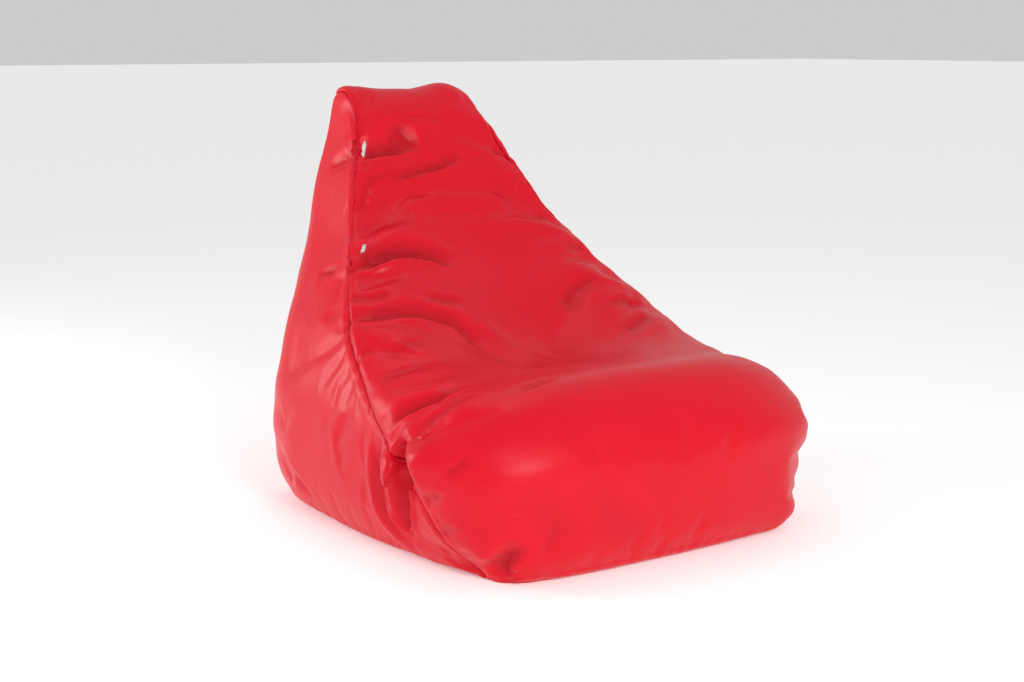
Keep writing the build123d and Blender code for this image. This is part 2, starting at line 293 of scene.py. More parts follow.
CREASES = (
    # across the back rest, from the left seam
    (13, 20, 6, ((-176, 325, 684), (-128, 322, 692), (-78, 326, 696), (-30, 322, 708))),
    (7, 14, 22, ((-100, 325, 720), (-85, 332, 735), (-60, 342, 748))),
    (6, 12, 14, ((-45, 322, 708), (-62, 338, 735), (-70, 345, 750))),
    (
        10, 13, 5,
        ((-120, 287, 648), (-93, 283, 650), (-38, 292, 658), (3, 300, 663), (56, 309, 679), (64, 313, 688)),
    ),
    (5, 6, 10, ((-191, 287, 646), (-159, 291, 651), (-125, 287, 652))),
    (4, 6, 9, ((-202, 278, 622), (-182, 280, 632), (-160, 282, 640))),
    (4, 6, 8, ((-212, 268, 606), (-192, 272, 616), (-176, 276, 622))),
    (4, 6, 8, ((-222, 260, 588), (-202, 264, 600), (-186, 266, 606))),
    (3, 5, 9, ((-62, 350, 767), (0, 350, 764), (73, 347, 762))),
    (3, 9, 12, ((-240, 225, 556), (-180, 228, 560), (-110, 225, 560))),
    # the long dark fold above the waist
    (
        19, 24, 7,
        (
            (-284, 170, 478), (-240, 162, 494), (-200, 162, 500), (-160, 160, 501), (-113, 150, 494),
            (-76, 131, 478),
        ),
    ),
    (7, 9, 12, ((-328, 122, 426), (-293, 95, 434), (-239, 76, 442))),
    (5, 9, 12, ((-190, 62, 436), (-140, 52, 432), (-95, 48, 428))),
    (12, 22, 8, ((-350, 80, 389), (-316, 55, 404), (-222, 28, 403), (-158, 5, 390), (-120, -50, 362))),
    (5, 8, 10, ((-384, 0, 338), (-365, -2, 348), (-340, -8, 352))),
    (4, 10, 14, ((-330, -30, 345), (-290, -38, 352), (-250, -40, 356))),
    (5, 12, 16, ((-380, -80, 305), (-325, -95, 325), (-270, -100, 332))),
    # from the left tuck over the seat's corner
    (12, 17, 8, ((-412, -172, 255), (-386, -200, 280), (-345, -230, 300), (-290, -240, 312))),
    (6, 8, 12, ((-396, -254, 260), (-350, -280, 288), (-300, -290, 305))),
    (5, 8, 12, ((-250, -330, 320), (-205, -325, 324), (-160, -318, 326))),
    # fanned out over the front's left edge
    (5, 8, 12, ((-401, -346, 200), (-390, -365, 218), (-377, -380, 240))),
    (5, 7, 10, ((-416, -290, 142), (-413, -315, 152), (-405, -338, 166))),
    (4, 7, 10, ((-396, -312, 84), (-397, -335, 98), (-392, -360, 112))),
    (11, 20, 9, ((-318, -404, 10), (-330, -402, 30), (-322, -420, 55), (-305, -440, 74))),
    (4, 10, 12, ((-270, -455, 60), (-262, -462, 90), (-250, -466, 112))),
    (3, 24, 30, ((-300, -455, 170), (-255, -462, 120), (-200, -462, 70))),
    (3, 28, 34, ((-190, -468, 150), (-120, -468, 100), (-60, -462, 60))),
    # right edge of the seat and back rest
    (7, 12, 18, ((125, 25, 402), (185, 62, 424), (240, 75, 438))),
    (6, 8, 12, ((215, 5, 392), (270, 13, 398), (320, 10, 385))),
    (7, 12, 18, ((200, -70, 345), (255, -50, 356), (310, -30, 362))),
    (5, 8, 10, ((150, 325, 700), (175, 318, 680), (196, 310, 660))),
    (5, 8, 12, ((225, 230, 560), (205, 222, 556), (175, 215, 552))),
    (5, 8, 12, ((270, 165, 485), (240, 158, 486), (205, 150, 486))),
    (5, 9, 14, ((412, -330, 190), (392, -372, 205), (362, -402, 215))),
    (5, 9, 14, ((405, -340, 140), (385, -385, 140), (350, -425, 150))),
    (4, 9, 12, ((392, -340, 100), (370, -390, 92), (335, -430, 100))),
    # left and right sides
    (6, 10, 12, ((-188, 345, 684), (-200, 370, 682), (-212, 400, 674))),
    (6, 10, 12, ((-288, 215, 478), (-300, 245, 476), (-308, 275, 466))),
    (4, 10, 14, ((-395, 245, 100), (-402, 190, 82), (-390, 140, 50))),
    (6, 12, 10, ((188, 345, 684), (200, 370, 682), (212, 400, 674))),
    (6, 12, 10, ((288, 215, 478), (300, 245, 476), (308, 275, 466))),
    # rear
    (6, 12, 16, ((-150, 445, 400), (-90, 438, 380), (-20, 434, 372))),
    (6, 12, 16, ((230, 420, 300), (160, 412, 280), (90, 410, 272))),
    (5, 10, 14, ((-60, 490, 640), (-20, 485, 610), (0, 480, 590))),
)


def press(points, normals, hollows):
    """Move points along their normals into the hollows."""
    out = points.copy()
    for centre, reach, depth in hollows:
        away = (points - np.array(centre) * MM) / (np.array(reach) * MM)
        out -= normals * (depth * MM * np.exp(-(away ** 2).sum(axis=1)))[:, None]
    return out


def pull(points, pulls):
    """Shift points near each centre."""
    out = points.copy()
    for centre, reach, way in pulls:
        away = (points - np.array(centre) * MM) / (np.array(reach) * MM)
        out += np.exp(-(away ** 2).sum(axis=1))[:, None] * np.array(way) * MM
    return out


def edge_ends(mesh):
    ends = np.zeros(len(mesh.edges) * 2, int)
    mesh.edges.foreach_get("vertices", ends)
    return ends.reshape(-1, 2).T


def spread(mesh, values, times):
    """Average values over the mesh with their neighbours, again and again."""
    first, second = edge_ends(mesh)
    count = len(mesh.vertices)
    links = np.bincount(first, minlength=count) + np.bincount(second, minlength=count)
    for _ in range(times):
        total = np.stack([
            np.bincount(first, v[second], count) + np.bincount(second, v[first], count) for v in values.T
        ], axis=1)
        values = 0.5 * values + 0.5 * total / links[:, None]
    return values


def swell(mesh, values, times):
    """Give each point the largest value found among its neighbours, again and again."""
    first, second = edge_ends(mesh)
    for _ in range(times):
        most = values.copy()
        np.maximum.at(most, first, values[second])
        np.maximum.at(most, second, values[first])
        values = most
    return values


def crease(points, normals, folds):
    """Move points along their normals into the folds, which fade out at both ends."""
    shift = np.zeros(len(points))
    for depth, left, right, line in folds:
        line = np.array(line) * MM
        reach = 3 * max(left, right) * MM
        near = np.where(np.all((points > line.min(0) - reach) & (points < line.max(0) + reach), axis=1))[0]
        spot, normal = points[near], normals[near]
        lengths = np.linalg.norm(np.diff(line, axis=0), axis=1)
        starts = np.concatenate([[0], np.cumsum(lengths)])
        best = np.full(len(near), np.inf)
        across = np.zeros(len(near))
        share = np.zeros(len(near))
        for k, (a, b) in enumerate(zip(line[:-1], line[1:])):
            way = (b - a) / lengths[k]
            t = np.clip((spot - a) @ way, 0, lengths[k])
            gap = spot - a - t[:, None] * way
            gap -= normal * (gap * normal).sum(axis=1)[:, None]
            distance = np.linalg.norm(gap, axis=1)
            leftward = (np.cross(normal, way) * gap).sum(axis=1) > 0
            closer = distance < best
            best = np.where(closer, distance, best)
            across = np.where(closer, np.where(leftward, left, right), across)
            share = np.where(closer, (starts[k] + t) / starts[-1], share)
        fade = np.clip(share / 0.2, 0.25, 1) * np.clip((1 - share) / 0.3, 0, 1) ** 0.7
        # Sharp at its line, with a low rim where the cloth stands up beside it.
        away = best / (across * MM)
        rim = 0.25 * np.exp(-((away - 1.9) ** 2) / 0.5)
        shift[near] += depth * MM * fade * (np.exp(-(away ** 1.25)) - rim)
    return points - normals * shift[:, None]


def read(items, name):
    """One vector of each of a mesh's items."""
    values = np.zeros(len(items) * 3)
    items.foreach_get(name, values)
    return values.reshape(-1, 3)


def read_points(mesh):
    return read(mesh.vertices, "co")


def read_normals(mesh):
    return read(mesh.vertex_normals, "vector")


def corner_points(mesh):
    """Which point each corner of the faces stands on."""
    loops = np.zeros(len(mesh.loops), int)
    mesh.loops.foreach_get("vertex_index", loops)
    return loops


def face_centres(mesh, cube):
    return np.array([np.mean([cube[v] for v in face.vertices], axis=0) for face in mesh.polygons])


def mark(mesh, name, kind, values):
    """Keep a value of every point on the mesh."""
    field = "vector" if kind == "FLOAT_VECTOR" else "value"
    mesh.attributes.new(name, kind, "POINT").data.foreach_set(field, values.ravel())


def smooth_shade(mesh):
    mesh.polygons.foreach_set("use_smooth", [True] * len(mesh.polygons))


def write_points(mesh, points):
    mesh.vertices.foreach_set("co", points.ravel())
    mesh.update()


def on_seam(cube):
    """Points of the cube that lie on a seam: all round both sides, and across the base and the rear's top."""
    at = np.abs(cube) > 1 - TINY
    return (at[:, 0] & (at[:, 1] | at[:, 2])) | (
        at[:, 2] & at[:, 1] & ((cube[:, 1] > 0) | (cube[:, 2] < 0))
    )


def draw_tight(piece, cube, settings):
    """Fill the sewn bag and pull its seams tight, then keep each point near where it was shaped."""
    start = read_points(piece.data)
    grip = piece.vertex_groups.new(name="grip")
    grip.add([int(i) for i in np.where(cube[:, 2] < -1 + TINY)[0]], 1.0, "REPLACE")
    sewn = piece.vertex_groups.new(name="sewn")
    sewn.add([int(i) for i in np.where(on_seam(cube))[0]], 1.0, "REPLACE")
    cloth = piece.modifiers.new("Fill", "CLOTH")
    wanted = {
        "quality": 6, "mass": 0.2, "tension_stiffness": 20, "compression_stiffness": 20, "shear_stiffness": 8,
        "bending_stiffness": 0.25, "air_damping": 2, "use_pressure": True,
        "uniform_pressure_force": settings.fill_pressure, "vertex_group_mass": grip.name,
        "vertex_group_shrink": sewn.name, "shrink_min": -settings.slack, "shrink_max": settings.seam_gather,
    }
    for name, value in wanted.items():
        setattr(cloth.settings, name, value)
    cloth.settings.effector_weights.gravity = 0
    cloth.collision_settings.use_collision = False
    cloth.point_cache.frame_end = settings.fill_frames
    for step in range(1, settings.fill_frames + 1):
        bpy.context.scene.frame_set(step)
    drawn = piece.evaluated_get(bpy.context.evaluated_depsgraph_get())
    move = read_points(drawn.data) - start
    piece.modifiers.clear()
    bpy.context.scene.frame_set(1)
    length = np.linalg.norm(move, axis=1)
    limit = settings.fill_limit
    hold = np.tanh(length / limit) * limit / np.maximum(length, TINY)
    move *= hold[:, None]
    # The wrinkles stay whole, and the broad swelling mostly goes back to the shape it had before.
    broad = spread(piece.data, move, settings.broad_steps)
    write_points(piece.data, start + move - settings.broad_share * broad)


def apply_modifiers(piece):
    """Put the result of a piece's modifiers into its mesh."""
    graph = bpy.context.evaluated_depsgraph_get()
    mesh = bpy.data.meshes.new_from_object(
        piece.evaluated_get(graph), preserve_all_data_layers=True, depsgraph=graph,
    )
    piece.modifiers.clear()
    piece.data = mesh


def finish_mesh(name, bm):
    """The mesh that a bmesh holds, which is then let go."""
    mesh = bpy.data.meshes.new(name)
    bm.to_mesh(mesh)
    bm.free()
    return mesh


def new_piece(name, mesh):
    piece = bpy.data.objects.new(name, mesh)
    bpy.context.scene.collection.objects.link(piece)
    return piece


# The bag inside starts as a copy of the filled one, and must end inside the finished one.
INNER = "inner_bag"
OUTER = []
DEEP = 16 * MM
LEFT, RIGHT, REAR, BASE, FRONT = range(5)
ZIP_HEIGHT = (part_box("cover_zip_teeth_lower")[1].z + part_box("cover_zip_teeth_upper")[0].z) / 2
ZIP_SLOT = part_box("cover_zip_top_stops")[1].x + 1 * MM
ZIP_HALF = 6 * MM
LINER_ZIP_HEIGHT = (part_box("liner_zip_teeth_lower")[1].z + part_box("liner_zip_teeth_upper")[0].z) / 2
LINER_ZIP_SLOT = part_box("liner_zip_top_stops")[1].x + 1 * MM
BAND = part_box("cover_lower_back_panel")[1].y
LINER_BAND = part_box("liner_lower_back_panel")[1].y


def panel_of(cube):
    """Which panel a point of the cube's surface belongs to."""
    out = np.full(len(cube), FRONT)
    out[cube[:, 1] > 1 - TINY] = REAR
    out[cube[:, 2] < -1 + TINY] = BASE
    out[cube[:, 0] < -1 + TINY] = LEFT
    out[cube[:, 0] > 1 - TINY] = RIGHT
    return out


def ease(value, start, end):
    """0 before start, 1 after end, and smooth between."""
    t = np.clip((value - start) / (end - start), 0, 1)
    return t * t * (3 - 2 * t)


def band_weight(points, slot, low, high, fade=0.045):
    """How much a point of the rear wall belongs to the band that a zip holds flat."""
    return (
        (1 - ease(np.abs(points[:, 0]), slot + 0.02, slot + 0.03 + fade))
        * ease(points[:, 2], low - fade, low) * (1 - ease(points[:, 2], high, high + fade))
        * (points[:, 1] > 0.3)
    )


# A seam's groove, the rim beside it, and how far out the puckers start and end.
GROOVE, RIM_AWAY, RIM_WIDTH, RIM_SHARE = 5.5 * MM, 14 * MM, 9 * MM, 0.45
PUCKER_START, PUCKER_END, PUCKER_REACH = 4 * MM, 22 * MM, 70 * MM


def groove(points, normals, seam, settings):
    """Draw the cloth in along its seams, with the small puckers that the stitches leave beside them."""
    tree = KDTree(len(seam))
    for k, spot in enumerate(seam):
        tree.insert(spot, k)
    tree.balance()
    found = [tree.find(p) for p in points]
    near = np.array([f[2] for f in found])
    pucker = np.array([
        noise.noise(Vector(f[0]) * 48) + 0.5 * noise.noise(Vector(f[0]) * 95) if f[2] < PUCKER_REACH else 0
        for f in found
    ])
    draw = settings.seam_depth * (
        np.exp(-near / GROOVE) - RIM_SHARE * np.exp(-((near - RIM_AWAY) / RIM_WIDTH) ** 2)
    )
    draw += settings.pucker_depth * pucker * np.exp(-near / PUCKER_END) * (1 - np.exp(-near / PUCKER_START))
    return points - normals * draw[:, None]


def fold(mesh):
    """Press the folds and creases into the filled bag. Gives how deep each point went into the creases."""
    write_points(mesh, crease(read_points(mesh), read_normals(mesh), DEEP_FOLDS))
    flat, normals = read_points(mesh), read_normals(mesh)
    creased = crease(flat, normals, CREASES)
    write_points(mesh, creased)
    return ((flat - creased) * normals).sum(axis=1)


def line_inside(mesh, points, below, outer, gap):
    """Relax a bag and push it in, by turns, until it lies inside the outer mesh with a gap between them."""
    # Under a deep fold the nearest wall can face the wrong way; the bag is already below it there.
    free = np.where(below < DEEP)[0]
    for _ in range(7):
        points = spread(mesh, points, 2)
        for k in free:
            near, facing, _, _ = outer.find_nearest(points[k])
            short = gap - (near - Vector(points[k])).dot(facing)
            if short > 0:
                points[k] -= np.array(facing) * short
    return points


def flatten_band(points, face, slot, low, high, fade):
    """Hold the rear wall flat at a face where a zip is sewn in."""
    weight = band_weight(points, slot, low, high, fade)
    points[:, 1] += weight * (face - points[:, 1])


def lay_uv(mesh, cube, points, panels):
    """Lay each panel's threads out flat in metres, along and across the panel."""
    shares = np.linspace(0, 1, 60)
    half = np.array([
        np.linalg.norm(np.diff(row_shape(np.linspace(0, 1, 40), np.full(40, s)), axis=0), axis=1).sum()
        for s in shares
    ])
    middle = row_shape(np.zeros(60), shares)
    length = np.concatenate([[0], np.cumsum(np.linalg.norm(np.diff(middle, axis=0), axis=1))])
    loops = corner_points(mesh)
    counts = np.zeros(len(mesh.polygons), int)
    mesh.polygons.foreach_get("loop_total", counts)
    panel = np.repeat(panels, counts)
    c, p = cube[loops], points[loops]
    share = np.where(
        (panel == FRONT) & (c[:, 2] < 1 - 0.001),
        LIP_SHARE * (c[:, 2] + 1) / 2, LIP_SHARE + (1 - LIP_SHARE) * (c[:, 1] + 1) / 2,
    )
    front = np.stack([c[:, 0] * np.interp(share, shares, half), np.interp(share, shares, length)], axis=1)
    uv = np.where((panel == FRONT)[:, None], front, 0)
    uv = np.where(((panel == LEFT) | (panel == RIGHT))[:, None], p[:, [1, 2]], uv)
    uv = np.where((panel == REAR)[:, None], p[:, [0, 2]], uv)
    uv = np.where((panel == BASE)[:, None], p[:, [0, 1]], uv)
    layer = mesh.uv_layers.new(name="threads")
    layer.data.foreach_set("uv", uv.ravel())


def tighten(cube):
    """Bring the cuts closer together towards the cube's edges, where the seams need the finest mesh."""
    return 0.65 * cube + 0.35 * np.sin(cube * np.pi / 2)


def shape_bag(settings, cells):
    """The filled bag as one closed mesh, with its cube coordinates."""
    bm = cut_cube(cells)
    cube = tighten(np.array([v.co[:] for v in bm.verts]))
    for vert, spot in zip(bm.verts, place_cover(cube)):
        vert.co = spot
    mesh = finish_mesh("bag", bm)
    piece = new_piece("bag", mesh)
    write_points(mesh, press(read_points(mesh), read_normals(mesh), HOLLOWS))
    draw_tight(piece, cube, settings)
    return piece, cube


def finish_bag(piece, cube, settings):
    """Subdivide the bag once and press in its creases, its seams and the flat band round its zip."""
    mesh = piece.data
    cells = face_centres(mesh, cube)
    mark(mesh, "where", "FLOAT_VECTOR", cube)
    smooth = piece.modifiers.new("Smooth", "SUBSURF")
    smooth.levels = smooth.render_levels = 1
    smooth.boundary_smooth = "PRESERVE_CORNERS"
    apply_modifiers(piece)
    mesh = piece.data
    panels = np.repeat(panel_of(cells), 4)
    fine = read(mesh.attributes["where"].data, "vector")
    write_points(mesh, pull(read_points(mesh), PULLS))
    plain, outward = read_points(mesh), read_normals(mesh)
    depth = fold(mesh)
    creased = read_points(mesh)
    points = groove(creased, read_normals(mesh), creased[on_seam(fine)], settings)
    flatten_band(points, BAND, ZIP_SLOT, ZIP_HEIGHT - 0.025, LINER_ZIP_HEIGHT + 0.015, 0.07)
    points[:, 2] = np.maximum(points[:, 2], 0)
    write_points(mesh, points)
    # How deep each point lies in the creases, which the cloth's material turns into painted shade.
    mark(mesh, "fold", "FLOAT", depth / (10 * MM))
    lay_uv(mesh, fine, points, panels)
    smooth_shade(mesh)
    # The bags inside start from the same pulled shape, and must stay below every fold.
    inner = bpy.data.objects[INNER].data
    write_points(inner, pull(read_points(inner), PULLS))
    drop = swell(mesh, np.maximum(((plain - points) * outward).sum(axis=1), 0), 2)
    mark(inner, "below", "FLOAT", drop[:len(inner.vertices)])
    return panels


def cut_slot(bm, faces, height, slot, half):
    """Cut the rear panel across at a zip's height and open the slot that its teeth show through."""
    for spot, way in (
        ((0, 0, height), (0, 0, 1)), ((0, 0, height - half), (0, 0, 1)), ((0, 0, height + half), (0, 0, 1)),
        ((slot, 0, 0), (1, 0, 0)), ((-slot, 0, 0), (1, 0, 0)),
    ):
        near = [f for f in faces if f.is_valid and abs(f.calc_center_median().z - height) < 0.05]
        around = list({e for f in near for e in f.edges}) + list({v for f in near for v in f.verts})
        cut = bmesh.ops.bisect_plane(bm, geom=near + around, plane_co=spot, plane_no=way, dist=1e-5)
        made = {g for g in cut["geom"] if isinstance(g, bmesh.types.BMFace)}
        faces = [f for f in set(faces) | made if f.is_valid]
    gone = [
        f for f in faces
        if abs(f.calc_center_median().x) < slot and abs(f.calc_center_median().z - height) < half
    ]
    bmesh.ops.delete(bm, geom=gone, context="FACES")
    return [f for f in faces if f.is_valid]


def split_bag(piece, panels, prefix, height, slot, half, thickness):
    """Cut the bag along its seams into its six panels, each with the cloth's thickness inwards."""
    names = {LEFT: "left_side", RIGHT: "right_side", BASE: "base", FRONT: "front"}
    pieces = {}
    for label in range(6):
        bm = bmesh.new()
        bm.from_mesh(piece.data)
        bm.faces.ensure_lookup_table()
        source = label if label < 5 else REAR
        keep = [bm.faces[int(k)] for k in np.where(panels == source)[0]]
        chosen = set(keep)
        bmesh.ops.delete(bm, geom=[f for f in bm.faces if f not in chosen], context="FACES")
        name = names.get(label, "back" if label == REAR else "lower_back")
        if source == REAR:
            cut_slot(bm, list(bm.faces), height, slot, half)
            above = label == REAR
            other = [f for f in bm.faces if (f.calc_center_median().z > height) != above]
            bmesh.ops.delete(bm, geom=other, context="FACES")
        mesh = finish_mesh(prefix + name, bm)
        panel = new_piece(f"{prefix}{name}_cloth", mesh)
        wall = panel.modifiers.new("Cloth thickness", "SOLIDIFY")
        wall.thickness = thickness
        wall.offset = -1
        pieces[name] = panel
    bpy.data.objects.remove(piece)
    return pieces


def add_node(tree, kind, links=None, values=None, **settings):
    """Add a node with its settings, its inputs' values and the outputs that feed its inputs."""
    made = tree.nodes.new(kind)
    for name, value in settings.items():
        setattr(made, name, value)
    for name, value in (values or {}).items():
        made.inputs[name].default_value = value
    for name, source in (links or {}).items():
        tree.links.new(source, made.inputs[name])
    return made


def new_material(name):
    material = bpy.data.materials.new(name)
    material.use_nodes = True
    material.node_tree.nodes.clear()
    return material, material.node_tree


# The places of a colour mix's sockets, which share their names with its other sockets.
FACTOR, FIRST, SECOND, MIXED = 0, 6, 7, 2


def woven_polyester(settings):
    """Plain-woven polyester with a calendered face: a soft gloss along the folds, and painted shade of deeper
    red down in them.
    """
    material, tree = new_material("woven_polyester")
    uv = add_node(tree, "ShaderNodeUVMap", uv_map="threads").outputs["UV"]
    place = add_node(tree, "ShaderNodeTexCoord").outputs["Object"]
    # Threads are 0.35 mm apart on the real cloth, drawn 1.4 mm apart so that they show.
    bands = {"Scale": 0.314 / (1.4 * MM), "Distortion": 0.6, "Detail": 1.0}
    warp = add_node(tree, "ShaderNodeTexWave", {"Vector": uv}, bands, bands_direction="X").outputs["Fac"]
    weft = add_node(tree, "ShaderNodeTexWave", {"Vector": uv}, bands, bands_direction="Y").outputs["Fac"]
    weave = add_node(tree, "ShaderNodeMath", {0: warp, 1: weft}, operation="MAXIMUM").outputs[0]
    # The beads dent the cloth every 14 mm or so, and dye and rubbing vary it over 90 mm.
    dents = add_node(tree, "ShaderNodeTexNoise", {"Vector": place}, {"Scale": 1 / (14 * MM), "Detail": 2.0})
    cloudy = add_node(
        tree, "ShaderNodeTexNoise", {"Vector": place}, {"Scale": 1 / (90 * MM), "Detail": 3.0},
    )
    # Painted shade: the red darkens down in the creases, and lightens a little on the rims beside them, by
    # how deep each point lies.
    fold = add_node(tree, "ShaderNodeAttribute", attribute_name="fold").outputs["Fac"]
    deep = add_node(
        tree, "ShaderNodeMapRange", {"Value": fold}, {"From Min": -0.2, "From Max": 1.1, "To Max": 0.85},
    )
    red = add_node(
        tree, "ShaderNodeMix", {FACTOR: cloudy.outputs["Fac"]},
        {FIRST: settings.colour, SECOND: settings.rubbed_colour}, data_type="RGBA",
    ).outputs[MIXED]
    red = add_node(
        tree, "ShaderNodeMix", {FACTOR: deep.outputs[0], FIRST: red}, {SECOND: settings.crease_shade_and_weave_colour},
        data_type="RGBA",
    ).outputs[MIXED]
    threads = add_node(tree, "ShaderNodeMapRange", {"Value": weave}, {"To Min": 0.14, "To Max": 0.0})
    red = add_node(
        tree, "ShaderNodeMix", {FACTOR: threads.outputs[0], FIRST: red}, {SECOND: settings.crease_shade_and_weave_colour},
        data_type="RGBA",
    ).outputs[MIXED]
    gloss = add_node(
        tree, "ShaderNodeMapRange", {"Value": cloudy.outputs["Fac"]},
        {
            "From Min": 0.3, "From Max": 0.7, "To Min": settings.roughness - 0.04,
            "To Max": settings.roughness + 0.05,
        },
    )
    soft = add_node(
        tree, "ShaderNodeBump", {"Height": dents.outputs["Fac"]}, {"Strength": 0.35, "Distance": 0.6 * MM}
    )
    woven = add_node(
        tree, "ShaderNodeBump", {"Height": weave, "Normal": soft.outputs["Normal"]},
        {"Strength": 0.3, "Distance": 0.12 * MM},
    )
    shader = add_node(
        tree, "ShaderNodeBsdfPrincipled",
        {"Base Color": red, "Roughness": gloss.outputs[0], "Normal": woven.outputs["Normal"]},
        {"IOR": 1.5, "Specular IOR Level": 0.22, "Sheen Weight": 0.08, "Sheen Roughness": 0.3,
         "Sheen Tint": linear("#FF6470")},
    )
    add_node(tree, "ShaderNodeOutputMaterial", {"Surface": shader.outputs["BSDF"]})
    return material


def spunbond_polypropylene(settings):
    """Spunbonded polypropylene felt, bonded by small pressed points that give it a dimpled, papery face."""
    material, tree = new_material("spunbond_polypropylene")
    uv = add_node(tree, "ShaderNodeUVMap", uv_map="threads").outputs["UV"]
    # Bond points are 1.5 mm apart on the real felt, drawn 3 mm apart so that they show.
    points = add_node(
        tree, "ShaderNodeTexVoronoi", {"Vector": uv}, {"Scale": 1 / (3 * MM), "Randomness": 0.05},
    ).outputs["Distance"]
    fibres = add_node(
        tree, "ShaderNodeTexNoise", {"Vector": uv},
        {"Scale": 1 / (5 * MM), "Detail": 4.0, "Distortion": 1.5},
    ).outputs["Fac"]
    pressed = add_node(
        tree, "ShaderNodeMapRange", {"Value": points}, {"From Min": 0.12, "From Max": 0.3},
    ).outputs[0]
    white = add_node(
        tree, "ShaderNodeMix", {FACTOR: fibres}, {FIRST: settings.colour, SECOND: linear("#DAD9D4")},
        data_type="RGBA",
    ).outputs[MIXED]
    white = add_node(
        tree, "ShaderNodeMix", {FACTOR: pressed, SECOND: white}, {FIRST: linear("#CFCEC8")},
        data_type="RGBA",
    ).outputs[MIXED]
    felt = add_node(tree, "ShaderNodeBump", {"Height": fibres}, {"Strength": 0.3, "Distance": 0.3 * MM})
    dimpled = add_node(
        tree, "ShaderNodeBump", {"Height": pressed, "Normal": felt.outputs["Normal"]},
        {"Strength": 0.6, "Distance": 0.3 * MM},
    )
    shader = add_node(
        tree, "ShaderNodeBsdfPrincipled", {"Base Color": white, "Normal": dimpled.outputs["Normal"]},
        {"Roughness": 0.72, "IOR": 1.49},
    )
    add_node(tree, "ShaderNodeOutputMaterial", {"Surface": shader.outputs["BSDF"]})
    return material


def expanded_polystyrene(settings):
    """Expanded polystyrene beads: a heap of small white balls, each with a faint cell pattern."""
    material, tree = new_material("expanded_polystyrene_beads")
    place = add_node(tree, "ShaderNodeTexCoord").outputs["Object"]
    balls = add_node(tree, "ShaderNodeTexVoronoi", {"Vector": place}, {"Scale": 1 / settings.bead_size})
    round_top = add_node(
        tree, "ShaderNodeMapRange", {"Value": balls.outputs["Distance"]},
        {"From Min": 0.0, "From Max": 0.75, "To Min": 1.0, "To Max": 0.0}, interpolation_type="SMOOTHSTEP",
    ).outputs[0]
    cells = add_node(
        tree, "ShaderNodeTexVoronoi", {"Vector": place}, {"Scale": 1 / (1.2 * MM)},
    ).outputs["Distance"]
    # Each ball is painted grey towards its rim, a painted shade where the balls meet.
    white = add_node(
        tree, "ShaderNodeMix", {FACTOR: round_top}, {FIRST: linear("#B9BBBD"), SECOND: settings.colour},
        data_type="RGBA",
    ).outputs[MIXED]
    heap = add_node(tree, "ShaderNodeBump", {"Height": round_top}, {"Strength": 0.9, "Distance": 1.5 * MM})
    skin = add_node(
        tree, "ShaderNodeBump", {"Height": cells, "Normal": heap.outputs["Normal"]},
        {"Strength": 0.15, "Distance": 0.1 * MM},
    )
    shader = add_node(
        tree, "ShaderNodeBsdfPrincipled", {"Base Color": white, "Normal": skin.outputs["Normal"]},
        {"Roughness": 0.55, "IOR": 1.3, "Subsurface Weight": 0.15},
    )
    add_node(tree, "ShaderNodeOutputMaterial", {"Surface": shader.outputs["BSDF"]})
    return material


def woven_tape(name, colour, shade):
    """Twill-woven polyester tape: slanting ribs a millimetre apart that catch the light in turn."""
    material, tree = new_material(name)
    place = add_node(tree, "ShaderNodeTexCoord").outputs["Object"]
    ribs = add_node(
        tree, "ShaderNodeTexWave", {"Vector": place}, {"Scale": 0.314 / (1.0 * MM), "Distortion": 0.4},
        bands_direction="DIAGONAL",
    ).outputs["Fac"]
    cloudy = add_node(
        tree, "ShaderNodeTexNoise", {"Vector": place}, {"Scale": 1 / (20 * MM)},
    ).outputs["Fac"]
    dyed = add_node(
        tree, "ShaderNodeMix", {FACTOR: cloudy}, {FIRST: colour, SECOND: shade}, data_type="RGBA",
    ).outputs[MIXED]
    dyed = add_node(
        tree, "ShaderNodeMix", {FACTOR: ribs, SECOND: dyed}, {FIRST: shade}, data_type="RGBA",
    ).outputs[MIXED]
    twill = add_node(tree, "ShaderNodeBump", {"Height": ribs}, {"Strength": 0.5, "Distance": 0.15 * MM})
    shader = add_node(
        tree, "ShaderNodeBsdfPrincipled", {"Base Color": dyed, "Normal": twill.outputs["Normal"]},
        {"Roughness": 0.62, "IOR": 1.5},
    )
    add_node(tree, "ShaderNodeOutputMaterial", {"Surface": shader.outputs["BSDF"]})
    return material


def moulded_acetal(name, colour, shade):
    """Injection-moulded acetal zip teeth: smooth and slightly waxy, with a faint flow of shade."""
    material, tree = new_material(name)
    place = add_node(tree, "ShaderNodeTexCoord").outputs["Object"]
    flow = add_node(
        tree, "ShaderNodeTexNoise", {"Vector": place}, {"Scale": 1 / (6 * MM), "Detail": 3.0},
    ).outputs["Fac"]
    tint = add_node(
        tree, "ShaderNodeMix", {FACTOR: flow}, {FIRST: colour, SECOND: shade}, data_type="RGBA",
    ).outputs[MIXED]
    gloss = add_node(
        tree, "ShaderNodeMapRange", {"Value": flow}, {"To Min": 0.26, "To Max": 0.42},
    ).outputs[0]
    skin = add_node(tree, "ShaderNodeBump", {"Height": flow}, {"Strength": 0.2, "Distance": 0.05 * MM})
    shader = add_node(
        tree, "ShaderNodeBsdfPrincipled",
        {"Base Color": tint, "Roughness": gloss, "Normal": skin.outputs["Normal"]}, {"IOR": 1.48},
    )
    add_node(tree, "ShaderNodeOutputMaterial", {"Surface": shader.outputs["BSDF"]})
    return material


